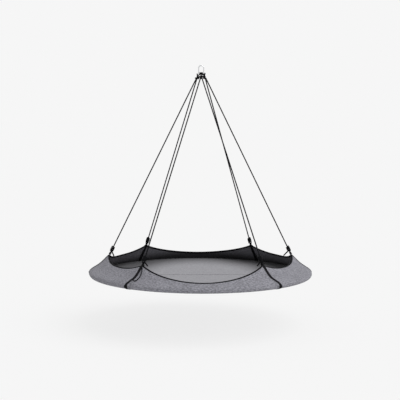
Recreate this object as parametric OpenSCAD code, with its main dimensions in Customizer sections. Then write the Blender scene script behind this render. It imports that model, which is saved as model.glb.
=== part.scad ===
// Round hanging swing bed: a padded steel hoop in a fabric cover, with a woven floor,
// a sloping wall and six ropes that meet at one snap hook.
// The origin is the inside of the hook's top bend, where a ceiling eye bears. +Z is up,
// X runs left to right and -Y is the front.

/* [Hoop] */
// Outer diameter over the padded and covered hoop
hoop_d = 1830; // [1500:10:2150]
// Outer diameter of the steel ring tube
tube_d = 28; // [24:1:32]
// Wall thickness of the steel ring tube
tube_wall = 1.5; // [1:0.1:2.5]
// Length of each spigot that joins two tube sections
spigot_l = 120; // [80:5:160]
// Thickness of the foam sleeve round the tube
foam_t = 5; // [3:0.5:14]

/* [Cover] */
// Thickness of the outer wall fabric
cover_t = 2.4; // [1.6:0.1:3.2]
// Thickness of the dark wall lining
lining_t = 1.6; // [1:0.1:2.4]
// Thickness of the floor fabric with its backing
floor_t = 3; // [2:0.2:5]
// How far the floor sags at its middle
floor_sag = 14; // [4:1:40]
// Width of the binding tape on each side of the rim
binding_w = 10; // [6:1:14]
// Thickness of the binding tape
binding_t = 1.5; // [1:0.1:2]

/* [Rim] */
// Azimuth of the front and back straps, from the left to right line
strap_azimuth = 52; // [44:1:58]
// Height of the peaks over the hoop's middle plane
peak_rise = 144; // [120:1:180]
// How far the peaks lean in from the hoop's centre line
peak_inset = 144; // [120:1:165]
// Height of the rim at the middle of the front and back scallops
long_rise = 46; // [40:1:60]
// Inset of the rim at the middle of the front and back scallops
long_inset = 52; // [40:1:64]
// Height of the rim at the middle of the side scallops
side_rise = 94; // [75:1:108]
// Inset of the rim at the middle of the side scallops
side_inset = 150; // [125:1:160]

/* [Straps] */
// Width of the webbing
strap_w = 25; // [20:1:28]
// Thickness of the webbing
strap_t = 2; // [1.5:0.1:2.5]
// Width of the folded webbing at the strap's eye
strap_eye_w = 8; // [6:0.5:9]
// Width of the sewn patch at the foot of each strap
patch_w = 31; // [29:0.5:35]
// Thickness of the sewn patch
patch_t = 1.6; // [1:0.1:2.4]

/* [Ropes] */
// Diameter of the rope
rope_d = 9; // [7:0.5:9.5]
// Height from the hoop's middle plane to the hook's inner top
drop = 1685; // [1400:5:2000]
// Diameter of the knots at the peaks
peak_knot_d = 30; // [28:0.5:33]
// Number of wraps in a knot at a peak
peak_wraps = 5; // [3:1:6]
// Diameter of the knots under the hook
top_knot_d = 25; // [24:0.5:27]
// Number of wraps in a knot under the hook
top_wraps = 3; // [2:1:4]
// Length of rope that shows between a peak knot and its strap
neck = 16; // [15:0.5:24]
// Length of the loose rope end at each peak knot
tail_l = 36; // [20:1:45]

/* [Hook] */
// Diameter of the hook's wire
hook_wire = 9; // [8:0.5:10]
// Overall height of the hook
hook_h = 76; // [72:1:90]
// Overall width of the hook
hook_w = 50; // [49:0.5:56]
// Bend radius at the hook's lower corners, on the wire's centre line
hook_foot_r = 9; // [8.5:0.5:9.5]
// Diameter of the gate
gate_d = 8.6; // [7.6:0.2:9.4]
// Diameter of the gate's rivet
rivet_d = 3; // [2.6:0.2:3.4]
// Thickness of the hook's flat tongues
tongue_t = 3.6; // [3:0.2:4]

/* [Clearances] */
// Gap between pieces that lie on each other
seat = 0.3; // [0.2:0.05:0.5]
// Radial running clearance of the gate on its rivet
rivet_run = 0.08; // [0.05:0.01:0.1]
// Radial clearance of the rope loops on the hook's wire
loop_run = 0.5; // [0.4:0.05:0.8]
// Slack between the flat-sided cover and the round foam
cover_slack = 1.7; // [1.6:0.1:2.4]

/* [Hidden] */
$fn = 48;
REVOLVE_FN = 144;

POSITIONS = ["left", "back_left", "back_right", "right", "front_right", "front_left"];
// A wall sector runs clockwise from above, from one position to the next.
SECTORS = ["left_back", "back", "right_back", "right_front", "front", "left_front"];
ROPES = ["left", "middle", "right"];
QUARTERS = ["front_right", "back_right", "back_left", "front_left"];
function named(prefix, names) = [for (name = names) str(prefix, name)];

function unit(a) = [cos(a), sin(a)];
function direction(v) = v / norm(v);
function deg(radians) = radians * 180 / PI;

// ---- hoop and rim, in the radial plane: [radius, height over the hoop's plane] ----
tube_r = tube_d / 2;
foam_r = tube_r + foam_t;
cover_in_r = foam_r + cover_slack;
pad_r = cover_in_r + cover_t;
hoop_r = hoop_d / 2 - pad_r;
hoop_mid = [hoop_r, 0];
hoop_z = -drop;

peak_point = [hoop_r - peak_inset, peak_rise];
// Powers that shape the scallops between their middle and their peaks
long_power = 1.9;
side_power = 2.6;
azimuths = [180, 180 - strap_azimuth, strap_azimuth, 0, -strap_azimuth, strap_azimuth - 180];

// The floor meets the lining at the seam, on the hoop's inner side below its middle.
seam_drop = 9;
seam_inset = 5;
seam_point = [hoop_r - pad_r - seam_inset, -seam_drop];
floor_edge = seam_drop + lining_t / 2 + 2 * seat;
// How far the floor's edge runs on under the lining's foot
floor_lap = 1.5;
floor_r = hoop_r - pad_r + floor_lap;
// Angle round the hoop's middle at which the cover starts, under and inside the hoop
cover_start = 200;

function sector_ends(i) = [azimuths[i] <= azimuths[(i + 1) % 6] ? azimuths[i] + 360 : azimuths[i],
    azimuths[(i + 1) % 6]];
function is_long(i) = i == 1 || i == 4;
function rim_point(i, u) =
    let(w = pow(abs(u), is_long(i) ? long_power : side_power),
        inset = is_long(i) ? long_inset : side_inset,
        rise = is_long(i) ? long_rise : side_rise)
    [hoop_r - inset - (peak_inset - inset) * w, rise + (peak_rise - rise) * w];

// Stations across a sector, as shares of its half angle: a narrow one at each end lies under
// the strap, where the binding stops, and the others are even.
STATION_STEP = 5;
function half_angle(i) = let(ends = sector_ends(i)) (ends[0] - ends[1]) / 2;
function station_shares(i) =
    let(half = half_angle(i), mm = deg(1 / peak_point.x) / half, end = 1 - mm * seat / 2,
        trim = 1 - mm * (strap_w / 2 + seat), count = ceil(2 * half / STATION_STEP))
    concat([-end], [for (k = [0 : count]) trim * (2 * k / count - 1)], [end]);
function station_azimuths(i) = let(ends = sector_ends(i))
    [for (u = station_shares(i)) (ends[0] + ends[1]) / 2 + half_angle(i) * u];
function rim(i) = [for (u = station_shares(i)) rim_point(i, u)];
function inner_part(list) = [for (k = [1 : len(list) - 2]) list[k]];

// Angle round the hoop's middle at which a line from a point lies against a circle
function tangent_angle(p, radius) =
    let(v = p - hoop_mid) atan2(v.y, v.x) - acos(radius / norm(v));

// ---- thin strips swept round the bed: each section has an outer and an inner path ----
function spin_point(p, azimuth) = [p.x * cos(azimuth), p.x * sin(azimuth), p.y];

module strip(stations, outer, inner) {
    m = len(outer[0]);
    n = 2 * m;
    last = (len(stations) - 1) * n;
    points = [for (i = [0 : len(stations) - 1]) each concat(
        [for (p = outer[i]) spin_point(p, stations[i])],
        [for (j = [m - 1 : -1 : 0]) spin_point(inner[i][j], stations[i])])];
    sides = [for (i = [0 : len(stations) - 2], j = [0 : n - 1])
        let(a = i * n + j, b = i * n + (j + 1) % n) each [[a, b, b + n], [a, b + n, a + n]]];
    caps = [for (j = [0 : m - 2]) let(o = j, p = j + 1, q = n - 2 - j, r = n - 1 - j) each
        [[r, q, p], [r, p, o], [last + o, last + p, last + q], [last + o, last + q, last + r]]];
    translate([0, 0, hoop_z]) polyhedron(points, concat(sides, caps));
}

// ---- outer wall: round under the hoop and up to the rim ----
ARC_STEPS = 12;
function cover_path(p, offset) =
    let(radius = cover_in_r + offset, end = tangent_angle(p, cover_in_r))
    concat([for (k = [0 : ARC_STEPS]) hoop_mid + radius
            * unit(cover_start + k * (360 + end - cover_start) / ARC_STEPS)],
        [p + binding_w * [sin(end), -cos(end)] + offset * unit(end), p + offset * unit(end)]);

module wall(i) {
    color("slategray") strip(station_azimuths(i),
        [for (p = rim(i)) cover_path(p, cover_t)], [for (p = rim(i)) cover_path(p, 0)]);
}

// ---- lining: from the rim down to the floor seam, a little slack ----
LINING_STEPS = 3;
lining_slack = 2;
function lining_normal(p) = let(d = direction(seam_point - p)) [d.y, -d.x];
function lining_path(p, offset) =
    let(tape = binding_w / norm(seam_point - p))
    [for (t = concat([0], [for (k = [0 : LINING_STEPS]) tape + (1 - tape) * k / LINING_STEPS]))
        p + t * (seam_point - p) + (offset + lining_slack * sin(180 * t)) * lining_normal(p)];

module lining(i) {
    color("dimgray") strip(station_azimuths(i),
        [for (p = rim(i)) lining_path(p, seat)], [for (p = rim(i)) lining_path(p, seat + lining_t)]);
}

// ---- binding: a tape folded over the rim of the wall and the lining ----
tape_gap = 1.5 * seat;
function binding_path(p, offset) =
    let(end = tangent_angle(p, cover_in_r), out_n = unit(end), out_d = [sin(end), -cos(end)],
        in_n = lining_normal(p), in_d = direction(seam_point - p), up = -direction(out_d + in_d),
        out_gap = cover_t + tape_gap + offset, in_gap = lining_t + seat + tape_gap + offset)
    [p + binding_w * out_d + out_gap * out_n, p + out_gap * out_n + (tape_gap + offset) * up,
     p + in_gap * in_n + (tape_gap + offset) * up,
     p + binding_w * in_d + (in_gap + lining_slack * sin(180 * binding_w / norm(seam_point - p))) * in_n];

module binding(i) {
    edge = inner_part(rim(i));
    color("black") strip(inner_part(station_azimuths(i)),
        [for (p = edge) binding_path(p, binding_t)], [for (p = edge) binding_path(p, 0)]);
}

// ---- ring: four bent tube sections, their spigots and foam sleeves ----
quarter_gap = deg(seat / hoop_r);

module ring_arc(start, sweep, radius, bore) {
    translate([0, 0, hoop_z]) rotate([0, 0, start]) rotate_extrude(angle = sweep, $fn = REVOLVE_FN)
        translate(hoop_mid) difference() {
            circle(r = radius);
            circle(r = bore);
        }
}

module ring_tube(q) {
    color("gray") ring_arc(-90 + 90 * q, 90 - quarter_gap, tube_r, tube_r - tube_wall);
}

module ring_spigots() {
    spigot_r = tube_r - tube_wall - seat;
    sweep = deg(spigot_l / hoop_r);
    color("silver") for (q = [0 : 3])
        ring_arc(90 * q - (sweep + quarter_gap) / 2, sweep, spigot_r, spigot_r - tube_wall);
}

module foam_sleeve(q) {
    color("darkslategray") ring_arc(-90 + 90 * q, 90 - quarter_gap, foam_r, tube_r + seat);
}

// ---- ropes: from the knots under the hook to the straps' eyes at the peaks ----
hook_top = hook_wire;
foot_z = hook_top - hook_h + hook_wire / 2;
loop_r = (hook_wire + rope_d) / 2 + loop_run;
loop_pitch = rope_d + seat;
top_pitch = rope_d / 2;
wrap_pitch = rope_d * 1.04;
top_knot_l = top_wraps * wrap_pitch;
peak_knot_l = peak_wraps * wrap_pitch;
// Height over which the loops' two sides gather between the wire and the knots
gather = 17;
top_knot_z = foot_z - gather;
knot_x = [-(top_knot_d + seat), 0, top_knot_d + seat];
loop_x = [-loop_pitch, 0, loop_pitch];
// Which knot carries the rope of each position
knot_of = [0, 0, 2, 2, 1, 1];
// How far each rope starts from its knot's axis, so that the two ropes of a knot stay apart
side_leg = rope_d * 1.2;
front_leg = rope_d * 0.9;
leg_offset = [side_leg, side_leg, side_leg, side_leg, front_leg, front_leg];

function rope_start(k) = [knot_x[knot_of[k]], 0, top_knot_z - top_knot_l / 2]
    + leg_offset[k] * [cos(azimuths[k]), sin(azimuths[k]), 0];
// How far the middle of each strap's eye lies beyond the wall's peak, along the rope
eye_lift = 14;
eye_lean = atan((peak_point.x - top_knot_d) / (drop - peak_rise + top_knot_z));
eye_point = peak_point + eye_lift * [-sin(eye_lean), cos(eye_lean)];
function eye_at(k) = [eye_point.x * cos(azimuths[k]), eye_point.x * sin(azimuths[k]),
    hoop_z + eye_point.y];

// Turns and moves a child whose +Z is up its rope so that it stands at that rope's eye
module at_eye(k) {
    v = rope_start(k) - eye_at(k);
    translate(eye_at(k)) rotate([0, acos(v.z / norm(v)), atan2(v.y, v.x)]) children();
}

// How far a rope runs into the knot at each of its ends
rope_grip = 10;

module rope(k) {
    length = norm(rope_start(k) - eye_at(k));
    foot = neck + peak_knot_l - rope_grip;
    color("black") at_eye(k) translate([0, 0, foot]) cylinder(h = length - foot, d = rope_d);
}

// A knot's barrel of wraps, standing on the XY plane
module barrel(diameter, wraps) {
    rotate_extrude() {
        square([(diameter - rope_d) / 2, wraps * wrap_pitch]);
        for (w = [0 : wraps - 1])
            translate([(diameter - rope_d) / 2, (w + 0.5) * wrap_pitch]) circle(d = rope_d);
    }
}

// Room on each side of the folded webbing inside the rope's bight
bight_room = 2.5;
bight_r = strap_eye_w / 2 + rope_d / 2 + bight_room;
// Radius inside the webbing's eye, and the bight's centre, from where it bears on the eye's edges
eye_in_r = rope_d / 2 + 3.2;
bight_z = eye_in_r - seat + sqrt(pow(bight_r - rope_d / 2, 2) - pow(strap_eye_w / 2, 2));

module bight() {
    translate([0, 0, bight_z]) rotate([0, 90, 0]) rotate([0, 0, -90])
        rotate_extrude(angle = 180) translate([bight_r, 0]) circle(d = rope_d);
    for (side = [-1, 1])
        translate([0, side * bight_r, bight_z]) cylinder(h = neck - bight_z + 1, d = rope_d);
}

// Which way each loose end points, turned about its rope from the inward side
tail_turns = [0, -39, 39, 0, 51, -51];
// How far a loose end bends away from its rope, and its diameter where it is pulled thin
tail_bend = 106;
tail_d = rope_d * 0.9;

module tail(k) {
    rotate([0, 0, tail_turns[k]]) translate([peak_knot_d / 4, 0, neck + rope_d])
        rotate([0, tail_bend, 0]) {
            cylinder(h = tail_l, d = tail_d);
            translate([0, 0, tail_l]) sphere(d = tail_d);
        }
}

module peak_knot(k) {
    color("black") at_eye(k) {
        translate([0, 0, neck]) barrel(peak_knot_d, peak_wraps);
        bight();
        tail(k);
    }
}

module top_knot(r) {
    color("black") translate([knot_x[r], 0, top_knot_z - top_knot_l]) barrel(top_knot_d, top_wraps);
}

// ---- rope loops: a tube swept over the hook's wire and down into a knot ----
LOOP_SIDES = 8;
LOOP_STEPS = 10;
// Where along the gather a loop leaves its place on the wire, is half way and is over its knot
gather_shares = [0.35, 0.53, 0.7];
function half_loop(r) = concat(
    [for (k = [0 : LOOP_STEPS / 2]) [loop_x[r], loop_r * sin(18 * k), foot_z + loop_r * cos(18 * k)]],
    [[loop_x[r], loop_r, foot_z - gather * gather_shares[0]],
     [(loop_x[r] + knot_x[r]) / 2, loop_r * 0.75, foot_z - gather * gather_shares[1]],
     [knot_x[r], top_pitch + seat, foot_z - gather * gather_shares[2]],
     [knot_x[r], top_pitch + seat, top_knot_z + seat]]);
function loop_line(r) = let(half = half_loop(r), n = len(half))
    concat([for (k = [n - 1 : -1 : 0]) half[k]],
        [for (k = [1 : n - 1]) [half[k].x, -half[k].y, half[k].z]]);
function heading(line, k) = let(n = len(line))
    direction(line[min(k + 1, n - 1)] - line[max(k - 1, 0)]);

module rope_loop(r) {
    line = loop_line(r);
    n = len(line);
    side = [1, 0, 0];
    points = [for (k = [0 : n - 1])
        let(t = heading(line, k), a = direction(side - (side * t) * t), b = cross(t, a))
        each [for (j = [0 : LOOP_SIDES - 1])
            line[k] + rope_d / 2 * (cos(360 * j / LOOP_SIDES) * a + sin(360 * j / LOOP_SIDES) * b)]];
    sides = [for (k = [0 : n - 2], j = [0 : LOOP_SIDES - 1])
        let(p = k * LOOP_SIDES + j, q = k * LOOP_SIDES + (j + 1) % LOOP_SIDES)
        each [[p, q + LOOP_SIDES, q], [p, p + LOOP_SIDES, q + LOOP_SIDES]]];
    last = (n - 1) * LOOP_SIDES;
    caps = [for (j = [1 : LOOP_SIDES - 2]) each [[0, j, j + 1], [last, last + j + 1, last + j]]];
    color("black") polyhedron(points, concat(sides, caps));
}

// ---- straps: webbing round the hoop, up both faces of the wall to an eye at the peak ----
strap_gap = seat + 0.2;
slit_inset = 14;
slit_drop = 5;
slit_point = [hoop_r - pad_r - slit_inset, -floor_edge - floor_t - slit_drop];

// The loop's outline, grown outward by offset: round the hoop, through the floor, over the eye
function strap_outline(offset) =
    let(hoop_c = pad_r + strap_gap + offset, eye_c = eye_in_r + offset,
        to_eye = eye_point - hoop_mid, to_slit = slit_point - hoop_mid,
        slit_to_eye = eye_point - slit_point,
        top = atan2(to_eye.y, to_eye.x) - acos((hoop_c - eye_c) / norm(to_eye)),
        low = atan2(to_slit.y, to_slit.x) + 360 + acos((hoop_c - offset) / norm(to_slit)),
        back = atan2(slit_to_eye.y, slit_to_eye.x) + acos((offset - eye_c) / norm(slit_to_eye)),
        mitre = (low - 360 + back) / 2)
    concat(
        [for (k = [0 : 12]) eye_point + eye_c * unit(top + k * (back - top) / 12)],
        [slit_point + offset * unit(back), slit_point + offset * unit((low + back) / 2),
         slit_point + offset * unit(low)],
        [for (k = [0 : 14]) hoop_mid + hoop_c * unit(low + k * (360 + top - low) / 14)]);

module strap_plane(k, width) {
    translate([0, 0, hoop_z]) rotate([0, 0, azimuths[k]]) rotate([90, 0, 0])
        linear_extrude(width, center = true) children();
}

// The webbing is folded narrow from this height over the peak, by a cut on each side
fold_rise = 6;
fold_cut = 40;

module strap(k) {
    patch_r = pad_r + strap_gap + strap_t;
    patch_angles = [for (a = [-33 : 6 : 15]) a];
    color("black") {
        difference() {
            strap_plane(k, strap_w) difference() {
                polygon(strap_outline(strap_t));
                polygon(strap_outline(0));
            }
            for (side = [-1, 1]) rotate([0, 0, azimuths[k]])
                translate([eye_point.x, side * (strap_eye_w + fold_cut) / 2,
                    hoop_z + peak_rise + fold_rise + fold_cut / 2]) cube(fold_cut, center = true);
        }
        strap_plane(k, patch_w) polygon(concat(
            [for (a = patch_angles) hoop_mid + (patch_r + patch_t) * unit(a)],
            [for (j = [len(patch_angles) - 1 : -1 : 0])
                hoop_mid + (patch_r - strap_t / 2) * unit(patch_angles[j])]));
    }
}

// ---- floor: two sewn halves with a shallow sag and a slit for each strap ----
FLOOR_STEPS = 8;
function floor_height(r) = -floor_edge - floor_sag * (1 - pow(r / floor_r, 2));
slit_w = strap_w + 2;
slit_depth = 9;
slit_spare = 4;

module floor_half(side) {
    radii = [for (k = [0 : FLOOR_STEPS]) floor_r * k / FLOOR_STEPS];
    color("gray") translate([0, 0, hoop_z]) difference() {
        rotate([0, 0, side > 0 ? 0 : 180]) rotate_extrude(angle = 180, $fn = REVOLVE_FN)
            polygon(concat([for (r = radii) [r, floor_height(r)]],
                [for (k = [FLOOR_STEPS : -1 : 0]) [radii[k], floor_height(radii[k]) - floor_t]]));
        translate([-floor_r - 1, side > 0 ? -1 : -seat / 2, -floor_sag - floor_edge - floor_t - 1])
            cube([2 * floor_r + 2, 1 + seat / 2, floor_sag + floor_t + 2]);
        for (azimuth = azimuths) rotate([0, 0, azimuth])
            translate([slit_point.x - slit_depth, -slit_w / 2, -floor_edge - floor_t - slit_spare])
                cube([slit_depth + 1, slit_w, floor_t + 2 * slit_spare]);
    }
}

// ---- snap hook: a bent wire with a riveted, sprung gate on its right side ----
arch_r = (hook_w - hook_wire) / 2;
arch_z = -(arch_r - hook_wire / 2);
pivot_rise = 5.5;
pivot_z = foot_z + hook_foot_r + pivot_rise;
// The nose is the wire's end on the right, with a tongue that the closed gate takes in
nose_drop = 3;
nose_z = arch_z - nose_drop;
nose_l = 5;
nose_w = gate_d * 0.7;
ear_w = gate_d * 0.9;
// Height over the pivot at which the gate's outer corner swings past height z with a gap
function swing_height(z) = sqrt(pow(z - pivot_z - seat, 2) - pow(gate_d / 2, 2));
gate_top = pivot_z + swing_height(nose_z);
notch_z = pivot_z + swing_height(nose_z - nose_l);

module bend(start, sweep, radius) {
    rotate([90, 0, 0]) rotate([0, 0, start]) rotate_extrude(angle = sweep)
        translate([radius, 0]) circle(d = hook_wire);
}

module hook_body() {
    flat = arch_r - hook_foot_r;
    color("silver") difference() {
        union() {
            translate([0, 0, arch_z]) bend(0, 180, arch_r);
            translate([-arch_r, 0, foot_z + hook_foot_r])
                cylinder(h = arch_z - foot_z - hook_foot_r, d = hook_wire);
            translate([-flat, 0, foot_z + hook_foot_r]) bend(180, 90, hook_foot_r);
            translate([-flat, 0, foot_z]) rotate([0, 90, 0]) cylinder(h = 2 * flat, d = hook_wire);
            translate([flat, 0, foot_z + hook_foot_r]) bend(270, 90, hook_foot_r);
            translate([arch_r, 0, nose_z]) cylinder(h = arch_z - nose_z, d = hook_wire);
            tongue(nose_z - nose_l, nose_l + 1, nose_w);
            tongue(pivot_z - pivot_rise - 1, pivot_rise + 1, ear_w);
            translate([arch_r, tongue_t / 2, pivot_z]) rotate([90, 0, 0])
                cylinder(h = tongue_t, d = ear_w);
        }
        translate([arch_r, hook_wire, pivot_z]) rotate([90, 0, 0])
            cylinder(h = 2 * hook_wire, d = rivet_d + seat / 3);
    }
}

// A flat tongue on the right side, from height z up
module tongue(z, height, width) {
    translate([arch_r - width / 2, -tongue_t / 2, z]) cube([width, tongue_t, height]);
}

spring_bore = 3;
spring_l = 12;
plunger_l = 5;
spring_wall = 0.6;
cam_r = ear_w / 2;

module hook_gate() {
    ear_r = gate_d / 2;
    color("lightgray") difference() {
        union() {
            translate([arch_r, 0, pivot_z]) cylinder(h = gate_top - pivot_z, d = gate_d);
            translate([arch_r, gate_d / 2, pivot_z]) rotate([90, 0, 0]) cylinder(h = gate_d, r = ear_r);
        }
        // fork over the pivot tongue
        translate([0, 0, pivot_z - ear_r - 1]) translate([arch_r - gate_d, -tongue_t / 2 - seat, 0])
            cube([2 * gate_d, tongue_t + 2 * seat, ear_r + 1 + cam_r + seat]);
        // notch that takes the nose tongue from inside
        translate([arch_r - nose_w / 2 - seat, -tongue_t / 2 - seat, notch_z])
            cube([gate_d, tongue_t + 2 * seat, gate_top - notch_z + 1]);
        translate([arch_r, gate_d, pivot_z]) rotate([90, 0, 0])
            cylinder(h = 2 * gate_d, d = rivet_d + 2 * rivet_run);
        translate([arch_r, 0, pivot_z + cam_r]) cylinder(h = spring_l + plunger_l, d = spring_bore);
    }
}

module hook_rivet() {
    color("gray") translate([arch_r, gate_d / 2, pivot_z]) rotate([90, 0, 0])
        cylinder(h = gate_d, d = rivet_d);
}

module gate_plunger() {
    color("gray") translate([arch_r, 0, pivot_z + cam_r + seat])
        cylinder(h = plunger_l - 2 * seat, d = spring_bore - seat);
}

module gate_spring() {
    color("silver") translate([arch_r, 0, pivot_z + cam_r + plunger_l]) difference() {
        cylinder(h = spring_l - seat, d = spring_bore - seat);
        translate([0, 0, -1]) cylinder(h = spring_l + 2, d = spring_bore - seat - 2 * spring_wall);
    }
}

hook_body();
hook_gate();
hook_rivet();
gate_plunger();
gate_spring();
for (r = [0 : 2]) {
    rope_loop(r);
    top_knot(r);
}
for (k = [0 : 5]) {
    rope(k);
    peak_knot(k);
    strap(k);
    wall(k);
    lining(k);
    binding(k);
}
for (q = [0 : 3]) {
    ring_tube(q);
    foam_sleeve(q);
}
ring_spigots();
floor_half(-1);  // floor_front
floor_half(1);  // floor_back
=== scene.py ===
from math import acos, atan, atan2, copysign, cos, degrees, hypot, pi, radians, remainder, sin, sqrt

import bmesh
import bpy
from mathutils import Matrix, Vector, noise


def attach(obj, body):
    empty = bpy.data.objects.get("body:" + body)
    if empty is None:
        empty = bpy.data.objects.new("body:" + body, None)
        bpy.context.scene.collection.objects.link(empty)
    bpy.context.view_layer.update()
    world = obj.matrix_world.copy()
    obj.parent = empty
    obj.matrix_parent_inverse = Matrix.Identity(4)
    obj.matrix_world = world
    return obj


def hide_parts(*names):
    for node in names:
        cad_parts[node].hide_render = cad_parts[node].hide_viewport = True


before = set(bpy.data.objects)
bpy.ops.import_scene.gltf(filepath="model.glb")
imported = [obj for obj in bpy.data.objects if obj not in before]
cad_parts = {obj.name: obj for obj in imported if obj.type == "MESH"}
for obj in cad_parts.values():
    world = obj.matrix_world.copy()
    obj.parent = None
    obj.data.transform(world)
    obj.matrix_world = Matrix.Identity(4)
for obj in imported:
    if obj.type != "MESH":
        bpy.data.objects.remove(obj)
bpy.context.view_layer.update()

print("frame loaded")

# Hanging swing bed, in metres. The origin is the inside of the hook's top bend, +Z is up,
# X runs left to right and -Y is the front.

# Camera
camera = {
    "distance": 8.567,      # in front of the hook's axis
    "overHoop": 1.359,      # height over the hoop's plane
    "side": -0.006,
    "aroundBed": 1.65,      # degrees, from the front towards the left
    "pitchDown": 5.10,
    "roll": 0.2,
    "focalPixels": 1048.6,  # focal length in pixels of the 400 pixel frame
    "framePixels": 400,
    "sensor": 36.0,
}

hoop = {
    "outer": 1.830,
    "tubeRadius": 0.014,
    "foam": 0.005,
    "slack": 0.0017,        # between the foam and the cover
    "cover": 0.0024,
    "lining": 0.0016,
    "floor": 0.003,
    "drop": 1.685,          # from the hook's inner top down to the hoop's plane
    "seat": 0.0003,
}
foamRadius = hoop["tubeRadius"] + hoop["foam"]
coverRadius = foamRadius + hoop["slack"]
padRadius = coverRadius + hoop["cover"]
hoopRadius = hoop["outer"] / 2 - padRadius
hoopZ = -hoop["drop"]


def inScene(name, data):
    thing = bpy.data.objects.new(name, data)
    bpy.context.scene.collection.objects.link(thing)
    return thing


def makeCamera():
    data = bpy.data.cameras.new("camera")
    data.sensor_width = camera["sensor"]
    data.lens = camera["focalPixels"] / camera["framePixels"] * camera["sensor"]
    data.clip_end = 200
    eye = inScene("camera", data)
    place = Matrix.Translation((camera["side"], -camera["distance"], hoopZ + camera["overHoop"]))
    turn = Matrix.Rotation(radians(90 - camera["pitchDown"]), 4, "X")
    about = Matrix.Rotation(radians(-camera["aroundBed"]), 4, "Z")
    eye.matrix_world = about @ place @ turn @ Matrix.Rotation(radians(camera["roll"]), 4, "Z")
    bpy.context.scene.camera = eye


makeCamera()

# Rim and sections, in the radial plane: radius and height over the hoop's plane
rim = {
    "azimuths": [180, 128, 52, 0, -52, -128],
    "positions": ["left", "back_left", "back_right", "right", "front_right", "front_left"],
    "sectors": ["left_back", "back", "right_back", "right_front", "front", "left_front"],
    "peakInset": 0.144, "peakRise": 0.144,
    "longInset": 0.052, "longRise": 0.046, "longPower": 1.9,   # front and back scallops
    "sideInset": 0.150, "sideRise": 0.094, "sidePower": 2.6,
}
seam = {"drop": 0.009, "inset": 0.005, "slack": 0.002, "floorLap": 0.0015, "sag": 0.014}
seamPoint = Vector((hoopRadius - padRadius - seam["inset"], -seam["drop"]))
floorEdge = seam["drop"] + hoop["lining"] / 2 + 2 * hoop["seat"]
floorRadius = hoopRadius - padRadius + seam["floorLap"]
peakPoint = Vector((hoopRadius - rim["peakInset"], rim["peakRise"]))
hoopMiddle = Vector((hoopRadius, 0))
strapAzimuths = [radians(a) for a in rim["azimuths"]]


def unit(angle):
    return Vector((cos(angle), sin(angle)))


def smooth(low, high, x):
    t = min(max((x - low) / (high - low), 0), 1)
    return t * t * (3 - 2 * t)


def spun(point, azimuth):
    return Vector((point[0] * cos(azimuth), point[0] * sin(azimuth), point[1] + hoopZ))


def sectorEnds(i):
    a, b = rim["azimuths"][i], rim["azimuths"][(i + 1) % 6]
    return radians(a + 360 if a <= b else a), radians(b)


def sectorAzimuth(i, share):
    a, b = sectorEnds(i)
    return (a + b) / 2 - (a - b) / 2 * share


def halfAngle(i):
    a, b = sectorEnds(i)
    return (a - b) / 2


def rimPoint(i, share):
    kind = "long" if i in (1, 4) else "side"
    w = abs(share) ** rim[kind + "Power"]
    inset, rise = rim[kind + "Inset"], rim[kind + "Rise"]
    return Vector((hoopRadius - inset - (rim["peakInset"] - inset) * w,
                   rise + (rim["peakRise"] - rise) * w))


def tangentAngle(p, radius):
    v = p - hoopMiddle
    return atan2(v.y, v.x) - acos(radius / v.length)


# Meshes
def finished(bm, name, material, nodes=(), body="bed"):
    mesh = bpy.data.meshes.new(name)
    bm.to_mesh(mesh)
    bm.free()
    piece = inScene(name, mesh)
    mesh.materials.append(material)
    mesh.polygons.foreach_set("use_smooth", [True] * len(mesh.polygons))
    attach(piece, body)
    if nodes:
        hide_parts(*nodes)
    return piece


def refined(piece):
    fine = piece.modifiers.new("fine", "SUBSURF")
    fine.levels = fine.render_levels = 1
    return piece


def thickened(piece, thickness):
    solid = piece.modifiers.new("thickness", "SOLIDIFY")
    solid.thickness = thickness
    solid.offset = 0
    return piece


# A grid shaped row by row. Its normal is along the rows' direction crossed with the columns'.
def shapedGrid(bm, rows, uvs, flip=False, wrapped=False):
    across, along = len(rows) - 1, len(rows[0]) - 1
    layer = bm.loops.layers.uv.verify()
    made = bmesh.ops.create_grid(bm, x_segments=across, y_segments=along, size=0.5)["verts"]
    at = {v: (round((v.co.x + 0.5) * across), round((v.co.y + 0.5) * along)) for v in made}
    faces = {f for v in made for f in v.link_faces}
    for face in faces:
        for loop in face.loops:
            i, j = at[loop.vert]
            loop[layer].uv = uvs[i][j]
    for v, (i, j) in at.items():
        v.co = rows[i][j]
    if flip:
        bmesh.ops.reverse_faces(bm, faces=list(faces))
    if wrapped:
        bmesh.ops.remove_doubles(bm, verts=made, dist=1e-6)
    return made


def distances(points):
    run = [0.0]
    for a, b in zip(points, points[1:]):
        run.append(run[-1] + (b - a).length)
    return run


def resampled(points, count):
    run = distances(points)
    out, k = [], 0
    for n in range(count + 1):
        want = run[-1] * n / count
        while k < len(run) - 2 and run[k + 1] < want:
            k += 1
        t = (want - run[k]) / max(run[k + 1] - run[k], 1e-12)
        out.append(points[k].lerp(points[k + 1], t))
    return out


# A smooth curve through chosen points, in even steps
def smoothPath(points, step):
    ends = [2 * points[0] - points[1], *points, 2 * points[-1] - points[-2]]
    fine = []
    for a, b, c, d in zip(ends, ends[1:], ends[2:], ends[3:]):
        for n in range(12):
            t = n / 12
            fine.append(0.5 * (2 * b + (c - a) * t + (2 * a - 5 * b + 4 * c - d) * t * t
                               + (3 * b - a - 3 * c + d) * t ** 3))
    fine.append(points[-1])
    run = distances(fine)[-1]
    return resampled(fine, max(2, round(run / step)))


def cutCorners(points, rounds=2):
    for _ in range(rounds):
        cut = [points[0]]
        for a, b in zip(points, points[1:]):
            cut += [a.lerp(b, 0.25), a.lerp(b, 0.75)]
        points = cut + [points[-1]]
    return points


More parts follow.
